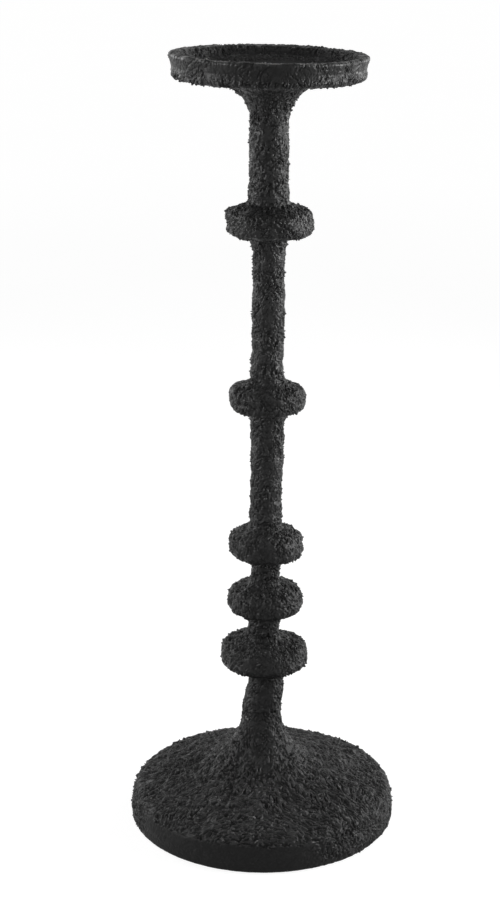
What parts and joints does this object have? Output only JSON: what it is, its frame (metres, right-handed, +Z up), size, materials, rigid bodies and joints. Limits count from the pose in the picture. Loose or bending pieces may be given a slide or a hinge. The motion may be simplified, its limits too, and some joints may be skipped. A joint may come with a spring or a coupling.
{
  "type": "candlestick",
  "caption": "Tall round candlestick for a pillar candle: wide shallow cup on a slim ringed stem and a broad sweeping base, wooden pieces on a tie rod coated in rough black paper pulp.",
  "frame": {"origin": "on the stand plane, under the centre of the base", "axes": "+Z up along the stem; the part is turned about Z, so X and Y are free, and the picture looks along +Y"},
  "size_m": [0.1588, 0.1588, 0.457],
  "materials": {
    "black_pulp": "coarse paper pulp painted matt black",
    "turned_wood": "plain turned softwood",
    "fibre_board": "bare fibre board",
    "ply_strip": "bent plywood strip",
    "zinc_steel": "bright zinc plated",
    "black_felt": "pressed felt",
    "black_plate": "matt black paint on pressed steel"
  },
  "bodies": {
    "candlestick": {"felt_pad": "black_felt", "base_board": "fibre_board", "cup_board": "fibre_board", "foot_block": "turned_wood", "neck_block": "turned_wood", "rim_hoop": "ply_strip", "stem_sleeve_1": "turned_wood", "stem_sleeve_2": "turned_wood", "stem_sleeve_3": "turned_wood", "stem_sleeve_4": "turned_wood", "stem_sleeve_5": "turned_wood", "stem_sleeve_6": "turned_wood", "ring_core_1": "fibre_board", "ring_core_2": "fibre_board", "ring_core_3": "fibre_board", "ring_core_4": "fibre_board", "ring_core_5": "fibre_board", "tie_rod": "zinc_steel", "tie_rod_washer": "zinc_steel", "tie_rod_nut": "zinc_steel", "cap_nut": "zinc_steel", "base_pulp_coat": "black_pulp", "stem_pulp_coat_1": "black_pulp", "stem_pulp_coat_2": "black_pulp", "stem_pulp_coat_3": "black_pulp", "stem_pulp_coat_4": "black_pulp", "stem_pulp_coat_5": "black_pulp", "stem_pulp_coat_6": "black_pulp", "ring_pulp_coat_1": "black_pulp", "ring_pulp_coat_2": "black_pulp", "ring_pulp_coat_3": "black_pulp", "ring_pulp_coat_4": "black_pulp", "ring_pulp_coat_5": "black_pulp", "cup_pulp_coat": "black_pulp", "rim_pulp_coat": "black_pulp"},
    "candle_plate": {"candle_plate": "black_plate"}
  },
  "joints": [
    {"name": "plate_lift", "type": "slide", "parent": "candlestick", "child": "candle_plate", "axis": [0, 0, 1], "range_m": [0, 0.06]}
  ]
}
